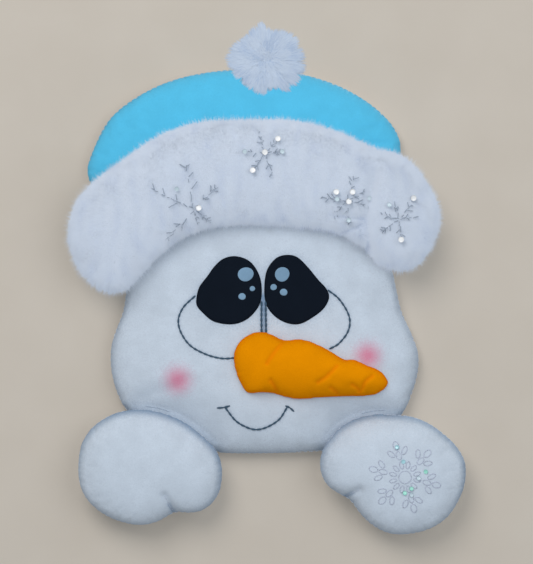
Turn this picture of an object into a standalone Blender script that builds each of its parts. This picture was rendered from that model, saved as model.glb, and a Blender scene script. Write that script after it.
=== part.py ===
"""Padded fabric snowman that hangs on a wall or door: head, fur-brimmed hat, carrot nose and two hands.

Frame: X to the right, Z up, Y into the wall. The head's flat back is the plane Y = 0, and the front faces -Y.
Lengths are metres; outlines are written in millimetres as (x, z) and scaled by MM.
"""

import math

import bpy
import numpy as np
from mathutils import Vector
from mathutils.bvhtree import BVHTree

MM = 0.001
GAP = 0.3 * MM  # room between pieces that touch

# Driving dimensions
FABRIC = 1.4 * MM  # fleece and felt
PILE = 6.0 * MM  # plush cloth with its fur
HEAD_RISE = 25.0 * MM  # how far the head's front stands out from its seam
HAT_RISE = 20.5 * MM
BRIM_PLANE = -28.0 * MM  # the brim roll's middle plane
BRIM_RISE = 20.0 * MM
BRIM_BACK_RISE = 16.0 * MM
BRIM_FLATNESS = 2.4
NOSE_RISE = 14.0 * MM
HAND_PLANE = -15.0 * MM  # the hands' seams
HAND_FRONT_RISE = 20.0 * MM
HAND_BACK_RISE = 9.5 * MM
HAND_SEAT = 11.0 * MM  # thickness of the head where a hand presses on it
SEAT_MARGIN = 3.0 * MM  # the pressed place reaches this far past the hand
SEAT_SLOPE = 0.62  # beyond that the head thickens by this much per unit of distance
THREAD = 0.7 * MM  # radius of the embroidery thread
THREAD_LIFT = 2.4 * MM  # from a cushion's facets out to the middle of a thread on it
PUPIL_CLOTH = 1.0 * MM
SEQUINS = 0.8 * MM
FRONT_FILL_ROOM = 9 * GAP  # between a front panel's inner face and the stuffing
BACK_FILL_ROOM = 7 * GAP
BRIM_FILL_ROOM = 8 * GAP
BRIM_ROOM = 2.2 * MM  # between the brim's back and the head and hat
NOSE_ROOM = 7 * GAP  # between the nose's back panel and the face
PUPIL_ROOM = 4 * GAP
FLAKE_ROOM = 1.6 * MM
TIE_RADIUS = 2.0 * MM
TIE_ROOM = 1.9 * MM  # from the hat to the knot of the pom-pom's thread
STITCH_RADIUS = 0.6 * MM  # thread that sews a hand to the head
STITCH_ROOM = 1.0 * MM  # between that thread and the head
RING_RADIUS = 8.0 * MM
RING_WIRE = 0.8 * MM
RING_PIVOT = Vector((0, 2.6, 184)) * MM
POM_RADIUS = 26.0 * MM
POM_ROOM = 6.0 * MM  # between the hat and the pom-pom
POM_CENTRE = Vector((0, -33, 196)) * MM
POM_PIVOT = Vector((0, -19.5, 179)) * MM

# Rings of a skin, as shares of the way from its middle to its rim
DOMED = (1, 0.97, 0.9, 0.78, 0.55)
FLAT = (1, 0.5)
BESIDE = (-9 * MM, 0, 9 * MM)  # how far round a point of a hand's back the room behind it is looked for

# Outlines, clockwise from the left
HEAD = [(-107, -12), (-101, 12), (-96, 40), (-80, 70), (-48, 90), (0, 96), (44, 90), (70, 74), (88, 52),
        (97, 14), (107, -10), (103, -36), (88, -60), (62, -74), (13, -78.5), (-32, -78.5), (-72, -68),
        (-98, -46)]
HAT = [(-124, 119), (-108, 155), (-86, 171.5), (-48, 185.5), (0, 189), (42, 180), (74, 161), (92, 134),
       (86, 100), (76, 86), (45, 97), (0, 103), (-48, 97), (-86, 80), (-112, 92)]
BRIM_TOP = [(-139, 74), (-133, 97), (-108, 120), (-74, 144), (-39, 154), (10, 155), (50, 146), (93, 132),
            (114, 109), (123, 85)]
BRIM_BOTTOM = [(-139, 74), (-128, 46), (-108, 33), (-90, 42), (-62, 66), (-30, 77), (4, 79), (48, 73),
               (70, 61), (88, 49), (106, 51), (123, 85)]
NOSE = [(-22, -13), (-14, 2), (0, 6), (18, 1), (53, -12), (83, -24), (83, -37), (64, -40.5), (21, -41.5),
        (-14, -37.5)]
LEFT_PUPIL = [(-48, 27), (-35, 52), (-21, 58.5), (-6, 49), (-3, 28), (-14, 13.5), (-30, 11), (-43, 18)]
RIGHT_PUPIL = [(0, 34), (3, 52), (15, 59.5), (28, 53), (44, 33), (36, 18), (20, 11.5), (6, 17)]
LEFT_EYE_LINE = [(-51, 28), (-60, 17), (-58.6, 4), (-46, -8), (-24, -12.8)]
RIGHT_EYE_LINE = [(46.5, 32.5), (58, 18), (57.5, 4), (46, -6)]
BRIDGE_LINE = [(-1.4, 20), (-1.2, 14), (-1, 8.5)]
SMILE_LINE = [(-28, -47.5), (-21, -56), (-14, -60.6), (-6, -62.6), (2, -60.8), (9.5, -56), (15, -49)]
LEFT_TICK = [(-33.6, -47.6), (-31, -47), (-29.4, -46.4)]
RIGHT_TICK = [(16, -46.4), (18, -47.8), (20.3, -50)]
LEFT_HAND = [(-131.5, -90), (-124, -64), (-107, -51.5), (-83, -48.7), (-59, -56), (-40, -70), (-30, -90),
             (-36, -114), (-52, -122), (-64, -121), (-92, -130), (-122, -116)]
RIGHT_HAND = [(38.5, -86), (52, -61), (75, -52), (101, -53), (125, -65), (141, -90), (133, -118), (109, -135),
              (85, -136), (64, -120), (54, -110), (41, -98)]
# Thread that sews each hand's upper edge to the head, just above the edge
LEFT_STITCH = [(-84, -46.9), (-78, -47.5), (-72, -48.9), (-67, -50.6)]
RIGHT_STITCH = [(68, -51.9), (73, -50.6), (79, -49.8), (85, -49.6)]
LEFT_THUMB_LINE = [(-65.5, -119), (-67, -115), (-70, -111)]
RIGHT_THUMB_LINE = [(57.5, -109), (61, -106.5), (65.5, -104.5)]
# Snowflakes: centre x, centre z and radius
BRIM_FLAKES = {"left": (-49, 98, 19), "centre": (1, 128, 17), "right": (58, 101, 19), "end": (93, 86, 14)}
HAND_FLAKE = (98, -95, 24)
LEFT_MIDDLE, RIGHT_MIDDLE = (-82, -90), (90, -92)  # of the hands
# The line that each hand turns on: a point on the hand's upper edge, and the edge's direction there
LEFT_HINGE = ((-72, -50.0), (55, -14))
RIGHT_HINGE = ((74, -51.2), (-55, -14))

WHITE = (0.78, 0.83, 0.88)
FUR_WHITE = (0.82, 0.86, 0.91)
TURQUOISE = (0.08, 0.45, 0.80)
ORANGE = (0.78, 0.26, 0.01)
BLACK = (0.008, 0.010, 0.016)
SLATE = (0.03, 0.07, 0.12)
SILVER = (0.75, 0.78, 0.82)
FILLING = (0.88, 0.88, 0.86)
BRASS = (0.70, 0.52, 0.22)


def clear_scene():
    for thing in list(bpy.data.objects):
        bpy.data.objects.remove(thing)


def material(name, colour, roughness=0.9, metallic=0.0):
    """A Principled material, made once for each name."""
    found = bpy.data.materials.get(name)
    if found:
        return found
    made = bpy.data.materials.new(name)
    made.use_nodes = True
    shader = made.node_tree.nodes["Principled BSDF"]
    shader.inputs["Base Color"].default_value = (*colour, 1)
    shader.inputs["Roughness"].default_value = roughness
    shader.inputs["Metallic"].default_value = metallic
    return made


def catmull_rom(p0, p1, p2, p3, t):
    """A point between p1 and p2 on the smooth curve through all four."""
    bend = 2 * p0 - 5 * p1 + 4 * p2 - p3
    return 0.5 * (2 * p1 + (p2 - p0) * t + bend * t**2 + (3 * (p1 - p2) + p3 - p0) * t**3)


def curve_through(points, closed):
    """Densely spaced points on a smooth curve through the given ones, in metres."""
    pts = np.array(points, float) * MM
    steps = np.arange(16) / 16
    if closed:
        ring = np.vstack([pts[-1:], pts, pts[:2]])
    else:
        ring = np.vstack([2 * pts[0] - pts[1], pts, 2 * pts[-1] - pts[-2]])
    dense = [catmull_rom(*ring[i : i + 4], t) for i in range(len(ring) - 3) for t in steps]
    return np.array(dense + [ring[-2]])


def along(curve, share):
    """The point at a share of a curve's length."""
    lengths = np.concatenate([[0], np.cumsum(np.linalg.norm(np.diff(curve, axis=0), axis=1))])
    where = share * lengths[-1]
    return np.array([np.interp(where, lengths, curve[:, axis]) for axis in (0, 1)])


def star_place(points, centre):
    """place(share, turn) over an outline that can be seen whole from its centre."""
    curve = curve_through(points, closed=True)
    middle = np.array(centre) * MM

    def place(share, turn):
        return middle + share * (along(curve, turn % 1) - middle)

    return place


def band_place(top, bottom):
    """place(share, turn) over a long bent band between two curves that meet at both ends."""
    upper, lower = curve_through(top, closed=False), curve_through(bottom, closed=False)

    def place(share, turn):
        a = share * math.cos(2 * math.pi * turn)
        b = share * math.sin(2 * math.pi * turn)
        way = math.acos(-a) / math.pi
        high, low = along(upper, way), along(lower, way)
        across = b / max(math.sqrt(1 - min(a * a, 1)), 1e-6)
        return (high + low) / 2 + across * (high - low) / 2

    return place


def flake_place(centre, radius):
    """place(share, turn) over a six-armed star."""
    middle = np.array(centre) * MM

    def place(share, turn):
        angle = 2 * math.pi * turn + math.pi / 2
        reach = radius * MM * (0.30 + 0.70 * abs(math.cos(3 * angle + math.pi / 2)) ** 3)
        return middle + share * reach * np.array([math.cos(angle), math.sin(angle)])

    return place


def dome(share, flatness=3.2):
    """Height of a stuffed cushion, 1 in its middle and 0 at its seam."""
    return max(1 - min(share, 1) ** flatness, 0) ** 0.5


def add_object(name, vertices, faces, look, origin=(0, 0, 0)):
    """A named object in place, with its own origin and smooth shading."""
    mesh = bpy.data.meshes.new(name)
    start = Vector(origin)
    mesh.from_pydata([Vector(v) - start for v in vertices], [], faces)
    mesh.materials.append(look)
    mesh.shade_smooth()
    mesh.set_sharp_from_angle(angle=math.radians(50))
    thing = bpy.data.objects.new(name, mesh)
    thing.location = start
    bpy.context.scene.collection.objects.link(thing)
    return thing


def skin(place, count, rings, depth, scale=1.0):
    """Vertices of one skin, ring by ring from its rim to its middle. depth(x, z, share) gives y."""
    vertices = []
    for share in rings:
        for i in range(count):
            x, z = place(share * scale, i / count)
            vertices.append((x, depth(x, z, share), z))
    x, z = place(0, 0)
    return vertices + [(x, depth(x, z, 0), z)]


def skin_faces(count, rings, start, front):
    """Faces of one skin. Outlines run clockwise as seen from the front."""
    faces = []
    for ring in range(rings - 1):
        for i in range(count):
            a, b = start + ring * count + i, start + ring * count + (i + 1) % count
            faces.append((a, a + count, b + count, b))
    last, middle = start + (rings - 1) * count, start + rings * count
    faces += [(last + i, middle, last + (i + 1) % count) for i in range(count)]
    return faces if front else [tuple(reversed(f)) for f in faces]


def is_clockwise(place):
    points = np.array([place(1, i / 12) for i in range(12)])
    following = np.roll(points, -1, axis=0)
    return np.sum(points[:, 0] * following[:, 1] - following[:, 0] * points[:, 1]) < 0


def two_skins(
    name, place, count, rings, front, back, look, front_scale=1.0, back_scale=1.0, origin=(0, 0, 0)
):
    """One closed body between a front and a back skin, joined along their rims."""
    vertices = skin(place, count, rings, front, front_scale)
    start = len(vertices)
    vertices += skin(place, count, rings, back, back_scale)
    faces = skin_faces(count, len(rings), 0, True) + skin_faces(count, len(rings), start, False)
    for i in range(count):
        j = (i + 1) % count
        faces.append((i, j, start + j, start + i))
    if not is_clockwise(place):
        faces = [tuple(reversed(f)) for f in faces]
    return add_object(name, vertices, faces, look, origin)


def surface_of(*things):
    """depth(x, z) of the frontmost of these objects at a place, or 0 beside them all."""
    trees = []
    for thing in things:
        corners = [v.co + thing.location for v in thing.data.vertices]
        trees.append(BVHTree.FromPolygons(corners, [p.vertices[:] for p in thing.data.polygons]))

    def depth(x, z):
        hits = [tree.ray_cast(Vector((x, -1, z)), Vector((0, 1, 0)))[0] for tree in trees]
        return min([hit.y for hit in hits if hit] + [0.0])

    return depth


def tube(
    name, points, depth, look, radius=THREAD, lift=THREAD_LIFT, sides=6, count=14, origin=(0, 0, 0)
):
    """A thread laid along points on a surface, with closed ends."""
    curve = curve_through(points, closed=False)
    flat = [along(curve, i / (count - 1)) for i in range(count)]
    line = [Vector((x, depth(x, z) - lift, z)) for x, z in flat]
    vertices, faces = [], []
    for i, point in enumerate(line):
        ahead = (line[min(i + 1, count - 1)] - line[max(i - 1, 0)]).normalized()
        side = ahead.cross(Vector((0, 1, 0))).normalized()
        up = side.cross(ahead)
        for k in range(sides):
            angle = 2 * math.pi * k / sides
            vertices.append(point + radius * (math.cos(angle) * side + math.sin(angle) * up))
    for i in range(count - 1):
        for k in range(sides):
            a, b = i * sides + k, i * sides + (k + 1) % sides
            faces.append((a, a + sides, b + sides, b))
    faces.append(tuple(range(sides)))
    faces.append(tuple(reversed(range((count - 1) * sides, count * sides))))
    return add_object(name, vertices, faces, look, origin)


def hand_reach():
    """For each hand, place() and middle, to tell how near a point of the head is to a hand."""
    hands = [(LEFT_HAND, LEFT_MIDDLE), (RIGHT_HAND, RIGHT_MIDDLE)]
    return [(star_place(outline, middle), middle) for outline, middle in hands]


def seat_limit():
    """limit(x, z): how thick the head may be where a hand lies on it, rising gently beside the hand."""
    tables = []
    for place, middle in hand_reach():
        rim = np.array([place(1, i / 90) for i in range(90)]) - np.array(middle) * MM
        angle = np.arctan2(rim[:, 1], rim[:, 0])
        order = np.argsort(angle)
        tables.append((np.array(middle) * MM, angle[order], np.linalg.norm(rim, axis=1)[order]))

    def limit(x, z):
        best = 1.0
        for middle, angles, reaches in tables:
            dx, dz = np.array([x, z]) - middle
            reach = np.interp(math.atan2(dz, dx), angles, reaches, period=2 * math.pi)
            beyond = max(math.hypot(dx, dz) - reach - SEAT_MARGIN, 0)
            best = min(best, HAND_SEAT + SEAT_SLOPE * beyond)
        return best

    return limit


def make_cushion(
    label, place, count, seam, front_rise, back_rise, look, inset, back_rings=(), origin=(0, 0, 0)
):
    """Back panel, front panel and stuffing of one cushion. Returns the front panel.

    seam(x, z) is the y of its seam; front_rise and back_rise (x, z, share) say how far it bulges either way.
    """

    def front(x, z, share):
        return seam(x, z) - GAP / 2 - front_rise(x, z, share)

    def front_inside(x, z, share):
        return min(front(x, z, share) + FABRIC, seam(x, z) - GAP / 2)

    def back(x, z, share):
        return seam(x, z) + GAP / 2 + FABRIC + back_rise(x, z, share)

    def back_inside(x, z, share):
        return back(x, z, share) - FABRIC

    def filling_front(x, z, share):
        return min(front(x, z, share) + FABRIC + FRONT_FILL_ROOM, seam(x, z) - 0.2 * GAP)

    def filling_back(x, z, share):
        room = max(back_rise(x, z, share) - BACK_FILL_ROOM, -0.1 * GAP)
        return seam(x, z) + room - 3 * GAP * dome(share)

    def filling_place(share, turn):
        return place(share * (1 - 1.6 * inset), turn)

    filling = material("filling", FILLING)
    if back_rings:
        two_skins(label + "_back", place, count, back_rings, back_inside, back, look, origin=origin)
    else:
        shell(label + "_back", place, count, back_inside, back, look, inset, inside_first=True, origin=origin)
    made = shell(label + "_front", place, count, front, front_inside, look, inset, origin=origin)
    name = label + "_stuffing"
    two_skins(name, filling_place, count, DOMED, filling_front, filling_back, filling, origin=origin)
    return made


def shell(name, place, count, front, back, look, inset, inside_first=False, origin=(0, 0, 0)):
    """A domed panel. Its inner skin is a little smaller all round than its outer one."""
    outer, inner = 1.0, 1 - inset
    front_scale, back_scale = (inner, outer) if inside_first else (outer, inner)
    return two_skins(name, place, count, DOMED, front, back, look, front_scale, back_scale, origin)


def make_brim(body):
    """The plush roll: its back lies on the head and the hat, and its ends stand free of them."""
    place = band_place(BRIM_TOP, BRIM_BOTTOM)
    plush = material("plush", FUR_WHITE)
    lining = material("brim_lining", FUR_WHITE)
    filling = material("filling", FILLING)
    count, inset = 46, 0.06

    def front(x, z, share):
        return BRIM_PLANE - GAP - BRIM_RISE * dome(share, BRIM_FLATNESS)

    def front_inside(x, z, share):
        return min(front(x, z, share) + PILE, BRIM_PLANE - GAP)

    def back(x, z, share):
        free = BRIM_PLANE + FABRIC + BRIM_BACK_RISE * dome(share, BRIM_FLATNESS)
        return min(free, body(x, z) - BRIM_ROOM)

    def back_inside(x, z, share):
        return back(x, z, share) - FABRIC

    def filling_front(x, z, share):
        return min(front(x, z, share) + PILE + 3 * GAP, BRIM_PLANE - GAP / 2)

    def filling_back(x, z, share):
        return max(back(x, z, share) - FABRIC - BRIM_FILL_ROOM, BRIM_PLANE - GAP / 4)

    def filling_place(share, turn):
        return place(share * (1 - 1.6 * inset), turn)

    made = shell("brim_plush", place, count, front, front_inside, plush, inset)
    shell("brim_lining", place, count, back_inside, back, lining, inset, inside_first=True)
    two_skins("brim_stuffing", filling_place, count, DOMED, filling_front, filling_back, filling)
    skin_depth = surface_of(made)
    for side, (x, z, radius) in BRIM_FLAKES.items():
        make_flake("brim_snowflake_" + side, (x, z), radius, skin_depth)


def make_flake(name, centre, radius, depth, origin=(0, 0, 0)):
    """A six-armed sequin snowflake lying on a surface."""
    place = flake_place(centre, radius)

    def back(x, z, share):
        return depth(x, z) - FLAKE_ROOM

    def front(x, z, share):
        return back(x, z, share) - SEQUINS

    silver = material("sequins", SILVER, 0.3, 0.6)
    return two_skins(name, place, 36, FLAT, front, back, silver, origin=origin)


def make_face(face):
    """Pupils, embroidered lines and the carrot nose, all lying on the face."""
    black = material("pupil_cloth", BLACK, 0.6)
    slate = material("thread", SLATE)
    orange = material("nose_cloth", ORANGE)

    def pupil_back(x, z, share):
        return face(x, z) - PUPIL_ROOM

    def pupil_front(x, z, share):
        return pupil_back(x, z, share) - PUPIL_CLOTH

    for side, outline, centre in (("left", LEFT_PUPIL, (-25, 34)), ("right", RIGHT_PUPIL, (21, 34))):
        place = star_place(outline, centre)
        two_skins(side + "_pupil", place, 24, FLAT, pupil_front, pupil_back, black)

    lines = {"left_eye_line": LEFT_EYE_LINE, "right_eye_line": RIGHT_EYE_LINE, "smile_line": SMILE_LINE}
    for name, points in lines.items():
        tube(name, points, face, slate)
    ticks = {"left_smile_tick": LEFT_TICK, "right_smile_tick": RIGHT_TICK}
    for name, points in {"eye_bridge_line": BRIDGE_LINE, **ticks}.items():
        tube(name, points, face, slate, count=4)

    def nose_seam(x, z):
        return face(x, z) - FABRIC - NOSE_ROOM

    def nose_rise(x, z, share):
        return NOSE_RISE * dome(share)

    def none(x, z, share):
        return 0

    make_cushion("nose", star_place(NOSE, (26, -19)), 26, nose_seam, nose_rise, none, orange, 0.07, DOMED)


def turned_ball(name, centre, radius, look, depth, gap, origin):
    """A ball whose back is pressed flat against a surface."""
    rows, columns = 10, 18
    vertices = []
    for i in range(rows + 1):
        angle = math.pi * i / rows
        for k in range(columns if 0 < i < rows else 1):
            turn = 2 * math.pi * k / columns
            x = centre.x + radius * math.sin(angle) * math.cos(turn)
            z = centre.z + radius * math.sin(angle) * math.sin(turn)
            y = min(centre.y - radius * math.cos(angle), depth(x, z) - gap)
            vertices.append((x, y, z))
    faces = [(0, 1 + k, 1 + (k + 1) % columns) for k in range(columns)]
    for i in range(rows - 2):
        for k in range(columns):
            a, b = 1 + i * columns + k, 1 + i * columns + (k + 1) % columns
            faces.append((a, a + columns, b + columns, b))
    last, end = 1 + (rows - 2) * columns, len(vertices) - 1
    faces += [(last + k, end, last + (k + 1) % columns) for k in range(columns)]
    return add_object(name, vertices, faces, look, origin)


def rod(name, start, end, radius, look, origin, sides=16):
    """A short round rod between two points."""
    vertices, faces = [], []
    ahead = (end - start).normalized()
    side = ahead.orthogonal().normalized()
    up = ahead.cross(side)
    for point in (start, end):
        for k in range(sides):
            angle = 2 * math.pi * k / sides
            vertices.append(point + radius * (math.cos(angle) * side + math.sin(angle) * up))
    for k in range(sides):
        j = (k + 1) % sides
        faces.append((k, j, sides + j, sides + k))
    faces.append(tuple(reversed(range(sides))))
    faces.append(tuple(range(sides, 2 * sides)))
    return add_object(name, vertices, faces, look, origin)


def make_pom_pom(body):
    """The yarn ball and the knotted thread that holds it on the hat."""
    yarn = material("yarn", FUR_WHITE)
    turned_ball("pom_pom", POM_CENTRE, POM_RADIUS, yarn, body, POM_ROOM, POM_PIVOT)
    back = body(POM_PIVOT.x, POM_PIVOT.z)
    start = Vector((POM_PIVOT.x, back - TIE_ROOM, POM_PIVOT.z))
    end = Vector((POM_PIVOT.x, back - POM_ROOM + 0.8 * TIE_RADIUS, POM_PIVOT.z))
    rod("pom_pom_tie", start, end, TIE_RADIUS, yarn, POM_PIVOT)


def make_ring():
    """The brass ring that hangs the figure, and the webbing tab that it swings in."""
    brass = material("brass", BRASS, 0.3, 1.0)
    webbing = material("webbing", WHITE)
    hole, half_width = 1.6 * MM, 2.8 * MM
    wall = 0.9 * MM
    corners = [(-1, -1), (1, -1), (1, 1), (-1, 1)]
    vertices = []
    for x in (-half_width, half_width):
        for reach in (hole, hole + wall):
            vertices += [RING_PIVOT + Vector((x, reach * a, reach * b)) for a, b in corners]
    faces = []
    for i in range(4):
        j = (i + 1) % 4
        faces.append((4 + i, i, j, 4 + j))
        faces.append((8 + i, 12 + i, 12 + j, 8 + j))
        faces.append((i, 8 + i, 8 + j, j))
        faces.append((4 + i, 4 + j, 12 + j, 12 + i))
    add_object("hanging_tab", vertices, faces, webbing)

    bpy.ops.mesh.primitive_torus_add(
        major_radius=RING_RADIUS, minor_radius=RING_WIRE, major_segments=24, minor_segments=8
    )
    ring = bpy.context.object
    ring.name = ring.data.name = "hanging_ring"
    for vertex in ring.data.vertices:
        x, y, z = vertex.co
        vertex.co = (x, z, y - RING_RADIUS)
    ring.data.flip_normals()
    ring.location = RING_PIVOT
    ring.data.materials.append(brass)
    ring.data.shade_smooth()


def hinge_point(hinge):
    (x, z), _ = hinge
    return Vector((x * MM, HAND_PLANE, z * MM))


def make_hand(side, outline, centre, hinge, thumb_line, stitch, body):
    """A stuffed mitten, pressed flat where it lies on the head, with its thumb crease and its stitch."""
    fleece = material("fleece", WHITE)
    slate = material("thread", SLATE)
    origin = hinge_point(hinge)

    def seam(x, z):
        return HAND_PLANE

    def front_rise(x, z, share):
        return HAND_FRONT_RISE * dome(share)

    def back_rise(x, z, share):
        around = [body(x + dx, z + dz) for dx in BESIDE for dz in BESIDE]
        room = min(around) - 2 * GAP - (HAND_PLANE + GAP / 2 + FABRIC)
        return min(HAND_BACK_RISE * dome(share), max(room, 0))

    place = star_place(outline, centre)
    label = side + "_hand"
    front = make_cushion(label, place, 28, seam, front_rise, back_rise, fleece, 0.04, origin=origin)
    tube(label + "_thumb_stitch", thumb_line, surface_of(front), slate, count=5, origin=origin)

    white = material("sewing_thread", FUR_WHITE, 0.7)
    tube(label + "_stitch", stitch, body, white, STITCH_RADIUS, STITCH_RADIUS + STITCH_ROOM, count=6)
    return front


def main():
    clear_scene()
    fleece = material("fleece", WHITE)
    felt = material("felt", TURQUOISE)
    limit = seat_limit()
    back_plane = -FABRIC - GAP / 2

    def flat_seam(x, z):
        return back_plane

    def none(x, z, share):
        return 0

    def head_rise(x, z, share):
        return min(HEAD_RISE * dome(share), limit(x, z) + back_plane)

    def hat_rise(x, z, share):
        return HAT_RISE * dome(share)

    head = make_cushion("head", star_place(HEAD, (0, 5)), 36, flat_seam, head_rise, none, fleece, 0.018, FLAT)
    hat = make_cushion("hat", star_place(HAT, (-12, 138)), 34, flat_seam, hat_rise, none, felt, 0.03, FLAT)
    body = surface_of(head, hat)
    make_brim(body)
    make_face(surface_of(head))
    make_pom_pom(body)
    make_ring()
    make_hand("left", LEFT_HAND, LEFT_MIDDLE, LEFT_HINGE, LEFT_THUMB_LINE, LEFT_STITCH, body)
    right = make_hand(
        "right", RIGHT_HAND, RIGHT_MIDDLE, RIGHT_HINGE, RIGHT_THUMB_LINE, RIGHT_STITCH, body
    )
    x, z, radius = HAND_FLAKE
    make_flake("hand_snowflake", (x, z), radius, surface_of(right), origin=hinge_point(RIGHT_HINGE))


main()
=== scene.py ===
"""Looks of the padded snowman: stuffed fleece and felt, plush fur, a yarn pom-pom, embroidery and sequins.

Everything lies in the CAD frame: metres, X to the right, Z up, the wall at Y = 0 and the front facing -Y.
Outlines and places are written in millimetres as (x, z) and scaled by MM.
"""

import math

import bpy
import numpy as np
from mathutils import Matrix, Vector, noise
from mathutils.bvhtree import BVHTree
from mathutils.geometry import delaunay_2d_cdt
from mathutils.kdtree import KDTree


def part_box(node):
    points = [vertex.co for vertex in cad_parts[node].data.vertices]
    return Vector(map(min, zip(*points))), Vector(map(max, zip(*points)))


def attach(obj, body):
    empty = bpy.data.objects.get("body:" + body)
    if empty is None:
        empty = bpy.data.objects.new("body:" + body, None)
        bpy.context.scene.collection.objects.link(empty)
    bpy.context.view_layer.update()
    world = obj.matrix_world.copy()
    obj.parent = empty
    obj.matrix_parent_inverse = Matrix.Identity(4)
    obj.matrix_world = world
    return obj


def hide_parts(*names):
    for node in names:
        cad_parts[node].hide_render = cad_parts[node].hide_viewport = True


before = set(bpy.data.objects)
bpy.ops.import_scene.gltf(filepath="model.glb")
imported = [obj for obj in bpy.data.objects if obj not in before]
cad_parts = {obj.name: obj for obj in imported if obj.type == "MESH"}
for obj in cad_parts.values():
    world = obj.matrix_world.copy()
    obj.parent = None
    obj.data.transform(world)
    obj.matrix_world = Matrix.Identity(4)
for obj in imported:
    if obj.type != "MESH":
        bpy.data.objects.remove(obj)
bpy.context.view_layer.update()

MM = 0.001

# Stuffed pieces
HEAD_RISE = 23.6 * MM
HAT_RISE = 18.0 * MM
NOSE_RISE = 12.4 * MM
HAND_FRONT_RISE = 17.6 * MM
HAND_BACK_RISE = 9.0 * MM
HAND_PLANE = -15.0 * MM
HAND_SEAT = 11.2 * MM  # thickness of the head where a hand lies on it
SEAT_MARGIN = 3.0 * MM
SEAT_SLOPE = 0.62
BACK_PLANE = -1.4 * MM  # seam of the head and the hat, one cloth in front of the wall
BRIM_PLANE = -28.0 * MM
BRIM_RISE = 16.5 * MM  # of the backing; the fur stands on it
BRIM_BACK_RISE = 14.0 * MM
BRIM_INSET = 4.0 * MM  # from the outline of the fur to the backing
HEAD_NAP = 1.8 * MM  # how far the cloth's nap stands out round the head
HAT_NAP = 2.4 * MM
FUR_LENGTH = 5.4 * MM
FLAKE_LIFT = 3.4 * MM  # from the backing to the snowflakes, which the fur's tips half cover
SEQUIN_LIFT = 5.2 * MM
SEQUIN_THICK = 0.18 * MM
SEQUIN_SIDES = 10
DAB_SIDES = 40
FIRST_PETAL = 106  # direction in degrees of the lace snowflake's first petal
BACK_BULGE = 1.2 * MM

# Simulation
FRAMES = 20
# The smaller a cushion and its mesh, the more pressure it takes to swell it
PRESSURES = {"head_cushion": 8.0, "hat_cushion": 40.0, "left_hand_cushion": 500.0,
             "right_hand_cushion": 500.0, "nose_cushion": 3000.0}
MOST_SWELL = 5.0 * MM

HEAD = [(-107.8, -10), (-105, 3.5), (-98.7, 19), (-96.6, 34), (-94, 48), (-80, 70), (-48, 90), (0, 96),
        (44, 90), (70, 74), (86, 56), (91.5, 34), (95, 19), (101.5, 5), (106.8, -9), (106.8, -22),
        (103, -36), (97, -50), (84, -64), (62, -74), (38, -77.5), (13, -78.6), (-9, -79), (-32, -78.4),
        (-55, -74), (-75, -66.5), (-90, -56), (-98.5, -46.6), (-103, -37.5), (-106.6, -25)]
HAT = [(-122, 112), (-124, 120), (-121, 129), (-108.5, 154), (-86, 171.5), (-60, 182.5), (-29, 188),
       (0, 189), (29, 184.5), (54, 176), (76, 162.5), (90.5, 147), (94, 132), (88, 108), (76, 88), (45, 97),
       (0, 103), (-48, 97), (-86, 80), (-112, 94)]
BRIM = [(-139, 77), (-133, 97), (-121, 111), (-108, 121), (-91, 133), (-74, 144), (-53, 152), (-30, 155),
        (0, 155.5), (24, 154), (45, 149), (62, 142), (79, 134), (94, 131), (107, 121), (116, 108),
        (122, 94), (123.5, 82), (119.5, 69), (112, 56), (102, 48.5), (90, 48), (80, 51), (71, 59), (61, 68),
        (44, 74), (22, 77), (-4, 79), (-30, 78), (-48, 74), (-62, 66.5), (-74, 57), (-86, 45), (-97, 35),
        (-108.5, 32.6), (-120, 37), (-129, 46), (-136.5, 60)]
NOSE = [(-22.2, -12.5), (-20, -3.5), (-14, 2.6), (-7, 5.8), (0, 6), (7, 3.2), (13, 0.6), (24.5, 0.9),
        (31.5, -0.5), (38.5, -3.5), (45.5, -7), (51, -10.8), (56, -13.3), (62, -13.2), (72, -17.5),
        (79, -20.3), (84, -24.5), (86.6, -29.4), (85, -33.5), (80.5, -37), (73.5, -39.4), (56, -39.8),
        (38.5, -40.7), (24.5, -41.5), (17.5, -40.8), (10.5, -39), (3.5, -37.2), (-3.5, -36.8), (-9, -37.6),
        (-13.5, -36.2), (-16.8, -31.5), (-20.6, -22.5)]
LEFT_HAND = [(-131.5, -88), (-129.5, -74), (-124, -64), (-116.5, -57), (-106.5, -51.5), (-95, -48.7),
             (-83, -48.7), (-71, -51), (-59, -56), (-49, -62.5), (-40, -70), (-33, -78.5), (-29.8, -89),
             (-30, -99), (-32, -108), (-37, -115), (-44, -120), (-53, -122), (-60, -121), (-65, -122),
             (-73, -127), (-83, -130), (-93, -130), (-103, -127.5), (-113, -123), (-122, -116),
             (-128, -108), (-131, -98)]
RIGHT_HAND = [(38, -87), (39.5, -78.5), (44.5, -70), (52.5, -61), (63, -55), (75, -52), (88, -52),
              (101, -53), (114, -57.5), (125, -65), (134, -73.5), (140, -83), (141.5, -93), (140, -103.5),
              (136, -113.5), (129.5, -123.5), (120, -131), (109, -135.3), (97, -137), (86, -136),
              (77.5, -132), (70, -126), (64, -119), (59.5, -112.5), (54, -109.6), (48, -106), (43, -102),
              (39.5, -95.5)]
LEFT_PUPIL = [(-48, 29), (-46, 37), (-40.5, 44.5), (-35, 52), (-29, 57), (-21, 58.7), (-12, 56), (-6, 49.5),
              (-2.6, 40), (-3, 27), (-9, 17.5), (-17, 12.3), (-26, 11), (-36.5, 13.3), (-44, 19.5),
              (-47.6, 24)]
RIGHT_PUPIL = [(-0.5, 36), (1.2, 48.5), (7.4, 57), (15, 59.6), (22.6, 58), (30, 51), (37, 42.5), (43, 35.8),
               (44.8, 29.5), (41, 22), (33, 15.6), (24, 11.2), (15, 12), (6.4, 17), (0.8, 25)]
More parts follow.
